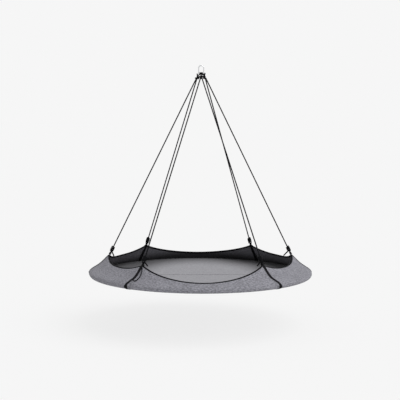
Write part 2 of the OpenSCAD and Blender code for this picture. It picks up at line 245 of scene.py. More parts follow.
# Rope: a braided tube along a path
braid = {
    "sides": 16,
    "step": 0.002,          # along straight ropes
    "curveStep": 0.0016,
    "strands": 4,           # in each direction round the rope
    "pitch": 0.018,         # length of one turn of a strand pair
    "relief": 0.055,        # share of the radius
    "meanCrest": 0.6,
    "endLifts": (0.45, 0.8, 0.97),      # rings of a round end, in shares of the radius
}


def ropeCurve(points):
    return smoothPath(points, braid["curveStep"])


def braidedTube(bm, path, radius, roundEnds=(False, False)):
    sides, strands = braid["sides"], braid["strands"]
    run = distances(path)
    tangents = [(path[min(k + 1, len(path) - 1)] - path[max(k - 1, 0)]).normalized()
                for k in range(len(path))]
    side = tangents[0].orthogonal().normalized()
    rows, uvs = [], []
    for k, (p, t) in enumerate(zip(path, tangents)):
        side = (side - side.dot(t) * t).normalized()
        other = t.cross(side)
        turn = 2 * pi * run[k] / braid["pitch"]
        ring, uvRing = [], []
        for j in range(sides + 1):
            a = -2 * pi * (j % sides) / sides
            crest = max(sin(strands * a + turn), sin(strands * a - turn))
            r = radius * (1 + braid["relief"] * (crest - braid["meanCrest"]))
            ring.append(p + r * (cos(a) * side + sin(a) * other))
            uvRing.append((run[k], j / sides * 2 * pi * radius))
        rows.append(ring)
        uvs.append(uvRing)
    for end, rounded in zip((0, -1), roundEnds):
        if rounded:
            outward = tangents[end] if end else -tangents[end]
            caps = [[path[end] + lift * radius * outward + (q - path[end]) * sqrt(1 - lift * lift)
                     for q in rows[end]] for lift in braid["endLifts"]]
            uvCaps = [uvs[end]] * len(caps)
            rows = rows + caps if end else caps[::-1] + rows
            uvs = uvs + uvCaps if end else uvCaps + uvs
    made = shapedGrid(bm, rows, uvs, wrapped=True)
    bmesh.ops.holes_fill(bm, edges=[e for e in bm.edges if e.is_boundary], sides=0)
    return made


def ropePiece(path, radius, name, nodes=(), roundEnds=(False, False)):
    bm = bmesh.new()
    braidedTube(bm, path, radius, roundEnds)
    return finished(bm, name, rope, nodes)


# Materials
# A node group that takes a Vector and other numbers or colours, each with its default
def newGroup(name, inputs, outputs):
    group = bpy.data.node_groups.new(name, "ShaderNodeTree")
    group.interface.new_socket(name="Vector", in_out="INPUT", socket_type="NodeSocketVector")
    for label, value in inputs.items():
        kind = "NodeSocketColor" if isinstance(value, tuple) else "NodeSocketFloat"
        group.interface.new_socket(name=label, in_out="INPUT", socket_type=kind).default_value = value
    for label in outputs:
        kind = "NodeSocketColor" if label == "Color" else "NodeSocketFloat"
        group.interface.new_socket(name=label, in_out="OUTPUT", socket_type=kind)
    return group, group.nodes.new("NodeGroupInput"), group.nodes.new("NodeGroupOutput")


# A shader node: sockets are joined to its inputs, and numbers and colours are set on them
def newNode(tree, kind, inputs, **settings):
    node = tree.nodes.new("ShaderNode" + kind)
    for label, value in settings.items():
        setattr(node, label, value)
    for label, value in inputs.items():
        if isinstance(value, bpy.types.NodeSocket):
            tree.links.new(value, node.inputs[label])
        else:
            node.inputs[label].default_value = value
    return node


def calc(tree, operation, *values):
    return newNode(tree, "Math", dict(enumerate(values)), operation=operation).outputs[0]


def times(tree, a, b):
    return calc(tree, "MULTIPLY", a, b)


def plus(tree, a, b):
    return calc(tree, "ADD", a, b)


def mixed(tree, share, a, b):
    a, b = ((*colour, 1) if isinstance(colour, tuple) else colour for colour in (a, b))
    return newNode(tree, "Mix", {0: share, 6: a, 7: b}, data_type="RGBA").outputs[2]


def noiseAt(tree, vector, scale, stretch=(1, 1, 1), detail=3.0):
    mapping = newNode(tree, "Mapping", {"Vector": vector, "Scale": stretch})
    return newNode(tree, "TexNoise", {"Vector": mapping.outputs[0], "Scale": scale, "Detail": detail,
                                      "Roughness": 0.55}).outputs[0]


# Plain weave: threads cross over and under each other
def makeWeaveGroup():
    group, entry, leave = newGroup("plainWeave", {"Threads per metre": 900.0}, ["Height"])
    split = newNode(group, "SeparateXYZ", {0: entry.outputs["Vector"]})
    lanes = [times(group, split.outputs[n], entry.outputs["Threads per metre"]) for n in (0, 1)]
    waves = [calc(group, "ABSOLUTE", calc(group, "SINE", times(group, lane, pi))) for lane in lanes]
    cells = plus(group, calc(group, "FLOOR", lanes[0]), calc(group, "FLOOR", lanes[1]))
    over = calc(group, "FLOORED_MODULO", cells, 2)
    lower = times(group, waves[0], calc(group, "SUBTRACT", 1, over))
    group.links.new(plus(group, lower, times(group, waves[1], over)), leave.inputs["Height"])
    return group


heather = {
    "fibres": 520, "fibreStretch": 0.25,
    "slubs": 115, "slubStretch": 0.45, "slubWeight": 1.6,
    "clouds": 14, "cloudWeight": 0.5,
    "middle": 2.05,         # the sum of the noises, in the middle of their range
}


# Heather: short dark and light fibres that run with the threads, on a soft uneven ground
def makeHeatherGroup():
    group, entry, leave = newGroup(
        "heatherYarn", {"Dark": (0.2, 0.2, 0.2, 1), "Light": (0.4, 0.4, 0.4, 1), "Contrast": 1.0},
        ["Color", "Fibre"])
    vector, long = entry.outputs["Vector"], heather["fibreStretch"]
    weft = noiseAt(group, vector, heather["fibres"], (long, 1, 1), 2)
    warp = noiseAt(group, vector, heather["fibres"], (1, long, 1), 2)
    slubs = noiseAt(group, vector, heather["slubs"], (heather["slubStretch"], 1, 1), 1)
    clouds = noiseAt(group, vector, heather["clouds"])
    slubs, clouds = times(group, slubs, heather["slubWeight"]), times(group, clouds, heather["cloudWeight"])
    total = plus(group, plus(group, weft, warp), plus(group, slubs, clouds))
    centred = calc(group, "SUBTRACT", total, heather["middle"])
    node = newNode(group, "Clamp", {0: plus(group, times(group, centred, entry.outputs["Contrast"]), 0.5)})
    group.links.new(mixed(group, node.outputs[0], entry.outputs["Dark"], entry.outputs["Light"]),
                    leave.inputs["Color"])
    group.links.new(node.outputs[0], leave.inputs["Fibre"])
    return group


# Braid: strands that cross round a rope, from a UV map of length and girth
def makeBraidGroup():
    group, entry, leave = newGroup("ropeBraid", {"Strands per metre": 220.0}, ["Height"])
    split = newNode(group, "SeparateXYZ", {0: entry.outputs["Vector"]})
    lanes = []
    for slant in (1.6, -1.6):
        slanted = plus(group, split.outputs[0], times(group, split.outputs[1], slant))
        turns = times(group, slanted, entry.outputs["Strands per metre"])
        lanes.append(calc(group, "ABSOLUTE", calc(group, "SINE", times(group, turns, pi))))
    group.links.new(calc(group, "MAXIMUM", *lanes), leave.inputs["Height"])
    return group


# Handling marks: fine scratches and dull patches on metal
def makeWearGroup():
    group, entry, leave = newGroup("metalWear", {"Low": 0.2, "High": 0.4}, ["Roughness", "Height"])
    patches = noiseAt(group, entry.outputs["Vector"], 160, detail=5)
    scratches = noiseAt(group, entry.outputs["Vector"], 900, (1, 1, 0.08), 2)
    share = times(group, times(group, patches, scratches), 3)
    span = calc(group, "SUBTRACT", entry.outputs["High"], entry.outputs["Low"])
    group.links.new(plus(group, entry.outputs["Low"], times(group, share, span)), leave.inputs["Roughness"])
    group.links.new(scratches, leave.inputs["Height"])
    return group


weaveGroup = makeWeaveGroup()
heatherGroup = makeHeatherGroup()
braidGroup = makeBraidGroup()
wearGroup = makeWearGroup()


def newMaterial(name, roughness=0.8, metallic=0.0, specular=0.3, sheen=0.0):
    material = bpy.data.materials.new(name)
    material.use_nodes = True
    shader = material.node_tree.nodes["Principled BSDF"]
    values = {"Roughness": roughness, "Metallic": metallic, "Specular IOR Level": specular,
              "Sheen Weight": sheen, "Sheen Roughness": 0.6}
    for label, value in values.items():
        shader.inputs[label].default_value = value
    return material, material.node_tree, shader


def coordinates(tree, kind):
    return tree.nodes.new("ShaderNodeTexCoord").outputs[kind]


def placed(tree, group, vector, **values):
    inputs = {label.replace("_", " "): value for label, value in values.items()}
    return newNode(tree, "Group", {"Vector": vector, **inputs}, node_tree=group)


def coloured(tree, shader, colour):
    tree.links.new(colour, shader.inputs["Base Color"])


def bumped(tree, shader, height, strength, distance):
    node = newNode(tree, "Bump", {"Strength": strength, "Distance": distance, "Height": height})
    tree.links.new(node.outputs[0], shader.inputs["Normal"])


cloths = {
    # dark fibre, light fibre, contrast, threads per metre, roughness, sheen
    "coverCloth": ((0.120, 0.119, 0.135), (0.340, 0.337, 0.375), 1.20, 1100, 0.92, 0.06),
    "floorCloth": ((0.185, 0.183, 0.199), (0.450, 0.446, 0.474), 0.60, 1100, 0.92, 0.05),
    "liningCloth": ((0.098, 0.097, 0.108), (0.222, 0.218, 0.241), 0.7, 1300, 0.9, 0.02),
}
# Painted shade: the floor's colour is darkened towards its edge, most at the sides and the back, standing in
# for the walls' shade on it
floorShade = {"middle": (0, -0.10), "sides": 1.5, "from": 0.55, "to": 1.02, "edge": 0.28}
# Painted shade: the lining's colour is darkened low down and in the middle of the back, from its height over
# the hoop's plane and a share of the distance to the left or right
liningShade = {"sideways": 0.10, "from": 0.03, "to": 0.12, "foot": 0.16}


def ramped(tree, value, low, high):
    inputs = {"Value": value, "From Min": low, "From Max": high}
    return newNode(tree, "MapRange", inputs, interpolation_type="SMOOTHSTEP").outputs[0]


# Painted shade: the share of darkening on the floor, growing from its middle towards its edge
def floorShadeShare(tree, uv):
    x, y = floorShade["middle"]
    mapping = newNode(tree, "Mapping", {"Vector": uv, "Location": (-x, -y, 0),
                                        "Scale": (floorShade["sides"], 1, 0)})
    length = newNode(tree, "VectorMath", {0: mapping.outputs[0]}, operation="LENGTH")
    return ramped(tree, length.outputs["Value"], floorShade["from"], floorShade["to"])


# Painted shade: the share of darkening on the lining, low down and towards the middle of the back
def liningShadeShare(tree):
    split = newNode(tree, "SeparateXYZ", {0: coordinates(tree, "Object")})
    sideways = times(tree, calc(tree, "ABSOLUTE", split.outputs[0]), liningShade["sideways"])
    height = plus(tree, split.outputs[2], sideways)
    rise = ramped(tree, height, hoopZ + liningShade["from"], hoopZ + liningShade["to"])
    return calc(tree, "SUBTRACT", 1, rise)


# Painted shade: a colour darkened towards black by a share, down to the darkest level
def shaded(tree, colour, share, darkest):
    return mixed(tree, times(tree, share, 1 - darkest), colour, (0.0, 0.0, 0.0))


def makeCloth(name):
    dark, light, contrast, threads, roughness, sheen = cloths[name]
    material, tree, shader = newMaterial(name, roughness, specular=0.15, sheen=sheen)
    uv = coordinates(tree, "UV")
    yarn = placed(tree, heatherGroup, uv, Dark=(*dark, 1), Light=(*light, 1), Contrast=contrast)
    weave = placed(tree, weaveGroup, uv, Threads_per_metre=threads)
    colour = yarn.outputs["Color"]
    # Painted shade: the floor's colour darkens towards its edge
    if name == "floorCloth":
        colour = shaded(tree, colour, floorShadeShare(tree, uv), floorShade["edge"])
    # Painted shade: the lining's colour darkens low down and in the middle of the back
    if name == "liningCloth":
        colour = shaded(tree, colour, liningShadeShare(tree), liningShade["foot"])
    coloured(tree, shader, colour)
    relief = plus(tree, weave.outputs["Height"], times(tree, yarn.outputs["Fibre"], 0.8))
    bumped(tree, shader, relief, 0.35, 0.0004)
    return material


bands = {
    # dark, light, ribs per metre, roughness
    "webbing": ((0.003, 0.003, 0.0036), (0.010, 0.010, 0.0118), 900, 0.7),
    "bindingTape": ((0.002, 0.002, 0.0028), (0.007, 0.007, 0.0088), 1400, 0.8),
    "stitchThread": ((0.012, 0.012, 0.013), (0.030, 0.030, 0.032), 2500, 0.6),
    "paleThread": ((0.10, 0.10, 0.11), (0.17, 0.17, 0.18), 2500, 0.7),
}


def makeBand(name):
    dark, light, ribs, roughness = bands[name]
    material, tree, shader = newMaterial(name, roughness, specular=0.08)
    uv = coordinates(tree, "UV")
    weave = placed(tree, weaveGroup, uv, Threads_per_metre=ribs)
    wear = noiseAt(tree, uv, 60, detail=4)
    coloured(tree, shader, mixed(tree, times(tree, weave.outputs["Height"], wear), dark, light))
    bumped(tree, shader, weave.outputs["Height"], 0.5, 0.0005)
    return material


ropeLook = {"dark": (0.002, 0.002, 0.0025), "light": (0.008, 0.008, 0.0095), "fleck": (0.03, 0.03, 0.033)}


def makeRopeMaterial():
    material, tree, shader = newMaterial("rope", 0.75, specular=0.06)
    uv = coordinates(tree, "UV")
    strands = placed(tree, braidGroup, uv, Strands_per_metre=230.0)
    ground = mixed(tree, strands.outputs["Height"], ropeLook["dark"], ropeLook["light"])
    flecks = calc(tree, "GREATER_THAN", noiseAt(tree, uv, 700, detail=1), 0.70)
    coloured(tree, shader, mixed(tree, times(tree, flecks, 0.5), ground, ropeLook["fleck"]))
    bumped(tree, shader, strands.outputs["Height"], 0.6, 0.0008)
    return material


metals = {
    # wear: lowest and highest roughness; patches: scale and detail; peel: scale of the paint's relief
    "brightZinc": {"roughness": 0.25, "metallic": 1.0, "specular": 0.5, "wear": (0.16, 0.42),
                   "patches": (70, 4), "tints": ((0.58, 0.59, 0.60), (0.76, 0.77, 0.78)),
                   "peel": None, "bump": (0.08, 0.0002)},
    "ringPowderCoat": {"roughness": 0.5, "metallic": 0.0, "specular": 0.4, "wear": (0.42, 0.6),
                       "patches": (30, 3), "tints": ((0.19, 0.195, 0.20), (0.24, 0.245, 0.25)),
                       "peel": 900, "bump": (0.15, 0.0003)},
}


def makeMetal(name):
    look = metals[name]
    material, tree, shader = newMaterial(name, look["roughness"], look["metallic"], look["specular"])
    at = coordinates(tree, "Object")
    low, high = look["wear"]
    wear = placed(tree, wearGroup, at, Low=low, High=high)
    scale, detail = look["patches"]
    coloured(tree, shader, mixed(tree, noiseAt(tree, at, scale, detail=detail), *look["tints"]))
    tree.links.new(wear.outputs["Roughness"], shader.inputs["Roughness"])
    height = noiseAt(tree, at, look["peel"], detail=2) if look["peel"] else wear.outputs["Height"]
    bumped(tree, shader, height, *look["bump"])
    return material


foamLook = {"cells": 700, "dark": (0.05, 0.05, 0.054), "light": (0.10, 0.10, 0.106)}


def makeFoam():
    material, tree, shader = newMaterial("closedCellFoam", 0.9, specular=0.15)
    at = coordinates(tree, "Object")
    cells = newNode(tree, "TexVoronoi", {"Vector": at, "Scale": foamLook["cells"]})
    coloured(tree, shader, mixed(tree, cells.outputs["Distance"], foamLook["dark"], foamLook["light"]))
    bumped(tree, shader, cells.outputs["Distance"], 0.3, 0.0005)
    return material


coverCloth, floorCloth, liningCloth = (makeCloth(name) for name in cloths)
webbing, bindingTape, stitchThread, paleThread = (makeBand(name) for name in bands)
steel, ringPaint = (makeMetal(name) for name in metals)
rope, foam = makeRopeMaterial(), makeFoam()
print("materials made")

# Ropes: their routes from the knots under the hook to the straps' eyes
cordage = {
    "ropeDiameter": 0.009, "neck": 0.016, "pitchShare": 1.04, "grip": 0.010,
    "peakKnot": 0.030, "peakWraps": 5, "topKnot": 0.025, "topWraps": 3,
    "eyeLift": 0.014, "eyeWidth": 0.008, "eyeRoom": 0.0032, "bightRoom": 0.0025,
    "gather": 0.017, "knotOf": [0, 0, 2, 2, 1, 1], "legOffset": [0.0108] * 4 + [0.0081] * 2,
    "loopRun": 0.0005, "endFuller": 1.15, "endDroop": 0.005, "legFuller": 1.06,
}
hook = {"wire": 0.009, "height": 0.076, "width": 0.050, "footRadius": 0.009, "pivotRise": 0.0055,
        "rivet": 0.003, "gate": 0.0086, "headShare": 0.85, "headFlat": 0.42, "headProud": 0.0001}
ropeRadius = cordage["ropeDiameter"] / 2
wrapPitch = cordage["ropeDiameter"] * cordage["pitchShare"]
peakKnotLength = cordage["peakWraps"] * wrapPitch
topKnotLength = cordage["topWraps"] * wrapPitch
footZ = hook["wire"] - hook["height"] + hook["wire"] / 2
topKnotZ = footZ - cordage["gather"]
knotX = [-(cordage["topKnot"] + hoop["seat"]), 0, cordage["topKnot"] + hoop["seat"]]
loopX = [-(cordage["ropeDiameter"] + hoop["seat"]), 0, cordage["ropeDiameter"] + hoop["seat"]]
loopRadius = (hook["wire"] + cordage["ropeDiameter"]) / 2 + cordage["loopRun"]
eyeLean = atan((peakPoint.x - cordage["topKnot"]) / (hoop["drop"] - rim["peakRise"] + topKnotZ))
eyePoint = peakPoint + cordage["eyeLift"] * Vector((-sin(eyeLean), cos(eyeLean)))


def ropeStart(k):
    out = unit(strapAzimuths[k]) * cordage["legOffset"][k]
    return Vector((knotX[cordage["knotOf"][k]] + out.x, out.y, topKnotZ - topKnotLength / 2))


# Places a shape whose +Z runs up its rope, from the strap's eye
def atEye(k):
    v = ropeStart(k) - spun(eyePoint, strapAzimuths[k])
    turn = Matrix.Rotation(atan2(v.y, v.x), 4, "Z") @ Matrix.Rotation(acos(v.z / v.length), 4, "Y")
    return Matrix.Translation(spun(eyePoint, strapAzimuths[k])) @ turn


def ropeLeg(k):
    start = ropeStart(k)
    foot = cordage["neck"] + peakKnotLength - cordage["grip"]
    end = atEye(k) @ Vector((0, 0, foot))
    count = round((start - end).length / braid["step"])
    return [start.lerp(end, n / count) for n in range(count + 1)]


def spiral(radius, low, turns, fromAngle, pitch, perTurn=14):
    count = round(turns * perTurn)
    return [Vector((radius * cos(fromAngle + 2 * pi * n / perTurn),
                    radius * sin(fromAngle + 2 * pi * n / perTurn),
                    low + pitch * n / perTurn)) for n in range(count + 1)]


peakKnot = {"wrapRadius": (cordage["peakKnot"] - cordage["ropeDiameter"]) / 2, "turns": 4.35,
            "firstRise": 0.0022, "bulge": 0.17,
            "start": ((0.006, 0.012), (0.0098, 0.004)),     # behind the axis, and rise over the neck
            "tuck": ((0.62, 0.002), (0.3, 0.006))}          # share of the radius, and drop
# Loose ends at each peak, in the order of rim["positions"]: rise up the knot, direction to the
# right, back and up, and length from the knot's axis
peakTails = [
    [(0.006, (0.45, -0.30, -0.85), 0.042)],
    [(0.006, (0.20, 0.90, -0.30), 0.034)],
    [(0.006, (-0.20, 0.90, -0.30), 0.034)],
    [(0.008, (-0.77, -0.20, -0.60), 0.056)],
    [(0.003, (-0.68, -0.30, -0.62), 0.044)],
    [(0.012, (0.78, -0.30, 0.50), 0.041), (0.001, (0.68, -0.30, -0.65), 0.040)],
]
bightRadius = cordage["eyeWidth"] / 2 + ropeRadius + cordage["bightRoom"]
eyeInner = ropeRadius + cordage["eyeRoom"]
bightZ = (eyeInner - hoop["seat"]
          + sqrt((bightRadius - ropeRadius) ** 2 - (cordage["eyeWidth"] / 2) ** 2))


# A point over or under another one, drawn in towards the knot's axis
def drawnIn(p, share, z):
    return Vector((p.x * share, p.y * share, z))


def bightAndWraps():
    neck = cordage["neck"]
    points = [Vector((0, -back, neck + rise)) for back, rise in peakKnot["start"]]
    for turned in range(0, 181, 20):
        a = radians(turned)
        points.append(Vector((0, -bightRadius * cos(a), bightZ - bightRadius * sin(a))))
    wraps = spiral(peakKnot["wrapRadius"], neck + peakKnot["firstRise"], peakKnot["turns"],
                   pi / 2, wrapPitch)
    for n, p in enumerate(wraps):
        fuller = 1 + peakKnot["bulge"] * sin(pi * n / (len(wraps) - 1))
        p.x, p.y = p.x * fuller, p.y * fuller
    last = wraps[-1]
    return ropeCurve(points + wraps[1:]
                     + [drawnIn(last, share, last.z - drop) for share, drop in peakKnot["tuck"]])


# A loose end that leaves a knot's axis in a direction and hangs a little
def looseEnd(bm, first, direction, length, front=0.0):
    along = Vector(direction).normalized()
    first = first - Vector((0, front, 0))
    points = [first + along * length * share - Vector((0, 0, cordage["endDroop"] * share * share))
              for share in (0, 0.25, 0.5, 0.75, 1)]
    braidedTube(bm, ropeCurve(points), ropeRadius * cordage["endFuller"], (False, True))


def makePeakKnot(k):
    bm = bmesh.new()
    braidedTube(bm, bightAndWraps(), ropeRadius)
    bm.transform(atEye(k))
    for rise, direction, length in peakTails[k]:
        looseEnd(bm, atEye(k) @ Vector((0, 0, cordage["neck"] + rise)), direction, length)
    name = rim["positions"][k]
    return finished(bm, "knot_peak_" + name, rope, ["peak_knot_" + name])


topKnot = {
    "wrapRadius": (cordage["topKnot"] - cordage["ropeDiameter"]) / 2, "turns": 2.4,
    "firstTurn": 0.3, "nextTurn": 0.8,          # in half turns: where each knot's wraps begin
    "head": ((0.35, 0.009), (0.8, 0.005)),      # share of the radius, and rise
    "tuck": ((0.7, 0.002), (0.3, 0.007)),       # share of the radius, and drop
    "names": ["left", "middle", "right"],
    # loose ends: direction to the right, back and up, length, and start in front of the knot's middle
    "tails": [
        [((-0.22, -0.30, 1.0), 0.036, 0), ((-1.0, -0.20, 0.05), 0.022, 0),
         ((0.80, -0.25, 0.62), 0.030, 0.014)],
        [((0.15, -1.0, 0.25), 0.026, 0)],
        [((0.12, -0.30, 1.0), 0.041, 0), ((-0.10, -0.55, 1.0), 0.036, 0.004),
         ((-0.80, -0.25, 0.62), 0.030, 0.014)],
    ],
}


def makeTopKnot(r):
    low = topKnotZ - topKnotLength
    begin = pi * (topKnot["firstTurn"] + topKnot["nextTurn"] * r)
    wraps = spiral(topKnot["wrapRadius"], low + ropeRadius, topKnot["turns"], begin, wrapPitch)
    first, last = wraps[0], wraps[-1]
    head = [drawnIn(first, share, low + rise) for share, rise in topKnot["head"]]
    tuck = [drawnIn(last, share, last.z - drop) for share, drop in topKnot["tuck"]]
    bm = bmesh.new()
    braidedTube(bm, ropeCurve(head + wraps + tuck), ropeRadius)
    for direction, length, front in topKnot["tails"][r]:
        looseEnd(bm, Vector((0, 0, topKnotZ - topKnotLength / 2)), direction, length, front)
    bm.transform(Matrix.Translation((knotX[r], 0, 0)))
    name = topKnot["names"][r]
    return finished(bm, "knot_top_" + name, rope, ["top_knot_" + name])


# A loop over the hook's foot: the way down to its knot, in shares of the gather
loopRoute = {"straight": 0.35, "turning": 0.53, "gathered": 0.7, "closing": 0.75}


def makeLoop(r):
    gather, side = cordage["gather"], ropeRadius + hoop["seat"]
    half = []
    for turned in range(0, 91, 18):
        a = radians(turned)
        half.append(Vector((loopX[r], loopRadius * sin(a), footZ + loopRadius * cos(a))))
    half += [Vector((loopX[r], loopRadius, footZ - gather * loopRoute["straight"])),
             Vector(((loopX[r] + knotX[r]) / 2, loopRadius * loopRoute["closing"],
                     footZ - gather * loopRoute["turning"])),
             Vector((knotX[r], side, footZ - gather * loopRoute["gathered"])),
             Vector((knotX[r], side, topKnotZ + hoop["seat"]))]
    other = [Vector((p.x, -p.y, p.z)) for p in half[1:]]
    path, name = ropeCurve(half[::-1] + other), topKnot["names"][r]
    return ropePiece(path, ropeRadius, "rope_over_hook_" + name, ["rope_loop_" + name])


topPieces = [(makeTopKnot(r), makeLoop(r)) for r in range(3)]
for k, name in enumerate(rim["positions"]):
    path = ropeLeg(k)
    leg = ropePiece(path, ropeRadius * cordage["legFuller"], "rope_leg_" + name, ["rope_" + name])
    going = [makePeakKnot(k)]
    if k in (0, 3, 4):      # the knot and loop of each doubled rope are listed with one of its legs
        going += topPieces[cordage["knotOf"][k]]
print("ropes and knots made")

# Cover: outer walls, linings, bindings
wall = {"coverStart": 200, "arcSteps": 26, "wallSteps": 14, "stationMm": 20, "dip": 0.037,
        "ripple": 0.0012, "rippleWaves": 6, "rippleSeed": (7.3, 1.1), "liningSteps": 14}
binding = {"width": 0.0112, "thick": 0.0015, "gap": 1.5 * hoop["seat"], "strapHalf": 0.0125}


def endShare(i, gap):
    return 1 - gap / (peakPoint.x * halfAngle(i))


def sharesAcross(i, end, stepMm):
    count = 2 * round(halfAngle(i) * hoopRadius * 1000 / stepMm / 2)
    return [end * (2 * n / count - 1) for n in range(count + 1)]


# The outer wall's line from the hoop to a point of the rim: its normal and its foot
def wallLine(p):
    normal = unit(tangentAngle(p, coverRadius))
    return normal, hoopMiddle + coverRadius * normal


# How far the taut cloth dips inwards at share t of the way from the hoop to the rim
def dipAt(t, length):
    return wall["dip"] * length * sin(pi * min(max(t, 0), 1)) ** 2


def coverPath(p, offset, ripple):
    radius = coverRadius + offset
    start, end = radians(wall["coverStart"]), tangentAngle(p, coverRadius) + 2 * pi
    path = [hoopMiddle + radius * unit(start + (end - start) * n / wall["arcSteps"])
            for n in range(wall["arcSteps"] + 1)]
    foot, top = path[-1], p + offset * unit(end)
    length = (top - foot).length
    for n in range(1, wall["wallSteps"] + 1):
        t = n / wall["wallSteps"]
        path.append(foot.lerp(top, t) + unit(end) * (ripple * sin(pi * t) - dipAt(t, length)))
    return path


def clothRows(i, end, pathOf):
    rows, uvs = [], []
    for share in sharesAcross(i, end, wall["stationMm"]):
        azimuth = sectorAzimuth(i, share)
        path = pathOf(share)
        rows.append([spun(p, azimuth) for p in path])
        uvs.append([(-azimuth * hoopRadius, d) for d in distances(path)])
    return rows, uvs


# One sector of sewn cloth between two straps
def clothPiece(i, gap, pathOf, name, node, material):
    rows, uvs = clothRows(i, endShare(i, gap), pathOf)
    bm = bmesh.new()
    shapedGrid(bm, rows, uvs, flip=True)
    sector = rim["sectors"][i]
    return refined(finished(bm, name + sector, material, [node + sector]))


def makeWall(i):
    first, second = wall["rippleSeed"]

    def pathOf(share):
        lumps = noise.noise(Vector((share * wall["rippleWaves"], i * first, second)))
        return coverPath(rimPoint(i, share), hoop["cover"] / 2, wall["ripple"] * lumps * (1 - share ** 6))
    piece = clothPiece(i, hoop["seat"] / 2, pathOf, "cover_", "wall_", coverCloth)
    return thickened(piece, hoop["cover"])


def liningNormal(p):
    d = (seamPoint - p).normalized()
    return Vector((d.y, -d.x))


def makeLining(i):
    def pathOf(share):
        p = rimPoint(i, share)
        normal = liningNormal(p)
        path = []
        for n in range(wall["liningSteps"] + 1):
            t = n / wall["liningSteps"]
            out = hoop["seat"] + hoop["lining"] / 2 + seam["slack"] * sin(pi * t)
            path.append(p.lerp(seamPoint, t) + out * normal)
        return path
    piece = clothPiece(i, hoop["seat"] / 2, pathOf, "inside_", "lining_", liningCloth)
    return thickened(piece, hoop["lining"])


# The tape's section: folded over the edges of the wall and the lining
def tapePath(p):
    outNormal, foot = wallLine(p)
    outDown = Vector((outNormal.y, -outNormal.x))
    inNormal, inDown = liningNormal(p), (seamPoint - p).normalized()
    up = -(outDown + inDown).normalized()
    half = binding["thick"] / 2
    outGap = hoop["cover"] + binding["gap"] + half
    inGap = hoop["lining"] + hoop["seat"] + binding["gap"] + half
    bulge = seam["slack"] * sin(pi * binding["width"] / (seamPoint - p).length)
    length = (p - foot).length
    dip = dipAt(1 - binding["width"] / length, length)
    return cutCorners([
        p + binding["width"] * outDown + (outGap - dip) * outNormal,
        p + outGap * outNormal + (binding["gap"] + half) * up,
        p + inGap * inNormal + (binding["gap"] + half) * up,
        p + binding["width"] * inDown + (inGap + bulge) * inNormal])


def makeBinding(i):
    piece = clothPiece(i, binding["strapHalf"] + hoop["seat"], lambda share: tapePath(rimPoint(i, share)),
                       "tape_", "binding_", bindingTape)
    return thickened(piece, binding["thick"])


covers = [makeWall(i) for i in range(6)]
linings = [makeLining(i) for i in range(6)]
tapes = [makeBinding(i) for i in range(6)]
print("cover made")

# Floor: two halves sewn along the left to right seam
floorPiece = {"around": 400, "deep": 44, "slitDepth": 0.023, "slitHalf": 0.0135, "slitRamp": 0.004,
              "ripple": 0.0007, "rippleWaves": 5, "rippleSeed": 4.2, "flatFrom": 0.7, "flatTo": 0.84}


def floorHeight(r):
    return -floorEdge - seam["sag"] * (1 - (r / floorRadius) ** 2)


# A point in the middle of the floor's thickness
def floorAt(x, y):
    out, waves = hypot(x, y), floorPiece["rippleWaves"]
    loose = 1 - smooth(floorPiece["flatFrom"], floorPiece["flatTo"], out)
    lumps = noise.noise(Vector((x * waves, y * waves, floorPiece["rippleSeed"])))
    middle = floorHeight(out) - hoop["floor"] / 2 + lumps * floorPiece["ripple"] * loose
    return Vector((x, y, middle + hoopZ))


def slitAt(azimuth):
    near = min(abs(remainder(azimuth - a, 2 * pi)) for a in strapAzimuths) * floorRadius
    return 1 - smooth(floorPiece["slitHalf"], floorPiece["slitHalf"] + floorPiece["slitRamp"], near)


def makeFloor(side, name):
    rows, uvs = [], []
    gap = hoop["seat"] / 2 * side
    for n in range(floorPiece["around"] + 1):
        azimuth = pi * (1 - n / floorPiece["around"]) * side
        r = floorRadius - floorPiece["slitDepth"] * slitAt(azimuth)
        x, edge = r * cos(azimuth), r * sin(azimuth)
        edge = edge if abs(edge) > abs(gap) else gap
        row = [floorAt(x, gap + (edge - gap) * m / floorPiece["deep"]) for m in range(floorPiece["deep"] + 1)]
        rows.append(row)
        uvs.append([(p.x, p.y) for p in row])
    bm = bmesh.new()
    shapedGrid(bm, rows, uvs, flip=side < 0, wrapped=True)
    bmesh.ops.dissolve_degenerate(bm, dist=1e-6, edges=bm.edges)
    return thickened(finished(bm, "bed_" + name, floorCloth, [name]), hoop["floor"])


floors = [makeFloor(-1, "floor_front"), makeFloor(1, "floor_back")]
print("floor made")

# Straps
strap = {
    "width": 0.025, "thick": 0.002, "gap": 0.0005, "slitInset": 0.014, "slitDrop": 0.005,
    "rows": 150, "around": 16, "edgePower": 0.35, "flatShare": 0.96, "eyeSteps": 12, "hoopSteps": 14,
    # folded in three at the eye, from this height over the peak
    "foldRise": 0.008, "foldRun": 0.009, "foldThick": 0.0046, "crease": 0.3, "ropeRoom": 0.0002,
    "bearing": (0.2, 0.8),
    # drawn together by twine under the eye
    "pinchDrop": 0.0088, "pinchRun": 0.008, "pinch": 0.42,
    # the outer leg is whatever lies further out than this, and it joins and leaves the wall
    # over these shares of the wall's length
    "outerLeg": -0.002, "joins": (0.0, 0.15), "leaves": (0.99, 1.06),
    # the front straps' feet, pushed along the hoop: angles under the hoop, and shares of the wall
    "footSlip": {4: 0.034, 5: -0.030}, "slipUnder": (-140, -40), "slipTurn": 100, "slipUp": (-0.10, 0.44),
}
patch = {"width": 0.031, "thick": 0.0016, "from": -34, "to": 16, "steps": 16, "taper": 0.06}
slitPoint = Vector((hoopRadius - padRadius - strap["slitInset"],
                    -floorEdge - hoop["floor"] - strap["slitDrop"]))


